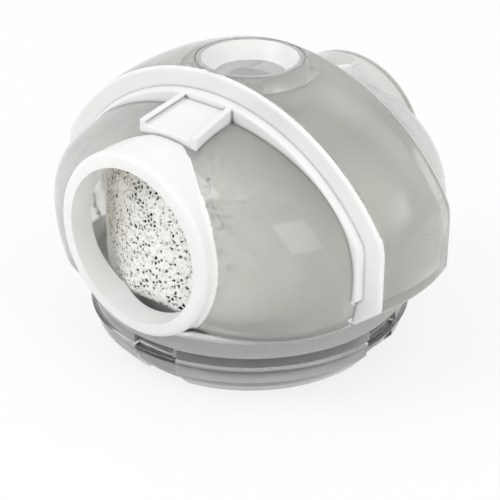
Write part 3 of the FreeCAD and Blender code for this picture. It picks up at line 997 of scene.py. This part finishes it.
def make_camera():
    """The camera at the photograph's angle, with the object as high in the frame as it is there."""
    look = settings().stage
    data = bpy.data.cameras.new("camera")
    camera = add_object("camera", data)
    back = camera_back(look)
    camera.location = Vector((0, 0, look.aim_height)) + back * look.distance
    aim_at(camera, -back)
    data.sensor_width = SENSOR
    data.lens = look.focal_pixels * SENSOR / PHOTO_SIDE
    data.shift_x = 0.5 - look.centre_x / PHOTO_SIDE
    data.shift_y = look.centre_y / PHOTO_SIDE - 0.5
    data.clip_start = 0.01
    data.clip_end = 20.0
    bpy.context.scene.camera = camera


def seen_rays(tree):
    """1 for rays that the camera, a reflection or a clear part sends out."""
    path = tree.nodes.new("ShaderNodeLightPath")
    either = maths(tree, "MAXIMUM", path.outputs["Is Camera Ray"], path.outputs["Is Glossy Ray"])
    return maths(tree, "MAXIMUM", either, path.outputs["Is Transmission Ray"])


def make_world():
    """Even light all round: white for the camera, a little dimmer low down for what clear parts mirror."""
    look = settings().stage
    world = bpy.data.worlds.new("studio")
    bpy.context.scene.world = world
    world.use_nodes = True
    tree = world.node_tree
    tree.nodes.clear()
    output = tree.nodes.new("ShaderNodeOutputWorld")
    direction = tree.nodes.new("ShaderNodeTexCoord").outputs["Generated"]
    up = node(tree, "ShaderNodeSeparateXYZ", Vector=direction).outputs["Z"]
    walls = stretch(tree, up, *HORIZON_SPAN, look.horizon, 1.0)
    path = tree.nodes.new("ShaderNodeLightPath")
    clear = maths(tree, "MAXIMUM", path.outputs["Is Glossy Ray"], path.outputs["Is Transmission Ray"])
    lit = maths(tree, "MULTIPLY", clear, walls)
    rest = maths(tree, "MULTIPLY", path.outputs["Is Diffuse Ray"], look.room_light)
    strength = maths(tree, "ADD", maths(tree, "ADD", lit, rest), path.outputs["Is Camera Ray"])
    background = node(tree, "ShaderNodeBackground", Color=WHITE, Strength=strength)
    tree.links.new(background.outputs[0], output.inputs["Surface"])


def make_floor():
    """A pale floor that shows near white and keeps the object's shadow."""
    look = settings().stage
    mesh = bpy.data.meshes.new("floor")
    work = bmesh.new()
    bmesh.ops.create_circle(work, cap_ends=True, segments=96, radius=look.floor_radius)
    work.to_mesh(mesh)
    work.free()
    material, tree, shader = new_material("pale_floor")
    shader.inputs["Base Color"].default_value = PALE
    shader.inputs["Roughness"].default_value = DRY
    glow = node(tree, "ShaderNodeEmission", Color=WHITE, Strength=1.0)
    mix = tree.nodes.new("ShaderNodeMixShader")
    share = maths(tree, "MULTIPLY", seen_rays(tree), look.floor_glow)
    tree.links.new(share, mix.inputs[0])
    tree.links.new(shader.outputs[0], mix.inputs[1])
    tree.links.new(glow.outputs[0], mix.inputs[2])
    output = next(n for n in tree.nodes if n.type == "OUTPUT_MATERIAL")
    tree.links.new(mix.outputs[0], output.inputs["Surface"])
    floor = link_piece("floor", mesh, material)


def add_lamp(name, place, power):
    """A square soft lamp aimed at the object's middle."""
    data = bpy.data.lights.new(name, "AREA")
    data.energy = power
    data.size = LAMP_WIDTH
    lamp = add_object(name, data)
    lamp.location = place
    aim_at(lamp, Vector((0, 0, settings().stage.aim_height)) - lamp.location)


class EXCHANGER_OT_stage(bpy.types.Operator):
    """Floor, lamps, world and camera"""

    bl_idname = "exchanger.stage"
    bl_label = "Stage"

    def execute(self, context):
        look = settings().stage
        make_camera()
        make_world()
        make_floor()
        add_lamp("key_lamp", KEY_PLACE, look.key_power)
        add_lamp("fill_lamp", FILL_PLACE, look.fill_power)
        context.scene.view_settings.view_transform = "Standard"
        return {"FINISHED"}


class EXCHANGER_PT_panel(bpy.types.Panel):
    """Lists the exchanger's pieces"""

    bl_idname = "EXCHANGER_PT_panel"
    bl_label = "Exchanger"
    bl_space_type = "VIEW_3D"
    bl_region_type = "UI"
    bl_category = "Exchanger"

    def draw(self, context):
        for piece in PIECES:
            self.layout.operator(piece.bl_idname)


PIECES = (
    EXCHANGER_OT_stage,
    EXCHANGER_OT_dome,
    EXCHANGER_OT_collar,
    EXCHANGER_OT_button,
    EXCHANGER_OT_valve,
    EXCHANGER_OT_foam,
)
CLASSES = (
    StageSettings,
    PlasticSettings,
    ZoneSettings,
    LobeSettings,
    FoamSettings,
    SpringSettings,
    ExchangerSettings,
    *PIECES,
    EXCHANGER_PT_panel,
)


def register():
    """Registers the settings, the operators and the panel."""
    for item in CLASSES:
        bpy.utils.register_class(item)
    bpy.types.Scene.exchanger = bpy.props.PointerProperty(type=ExchangerSettings)


def unregister():
    """Takes out what register put in."""
    del bpy.types.Scene.exchanger
    for item in reversed(CLASSES):
        bpy.utils.unregister_class(item)


def main():
    """Builds every piece in order."""
    register()
    bpy.ops.exchanger.stage()
    bpy.ops.exchanger.dome()
    bpy.ops.exchanger.collar()
    bpy.ops.exchanger.button()
    bpy.ops.exchanger.valve()
    bpy.ops.exchanger.foam()


if __name__ == "__main__":
    main()
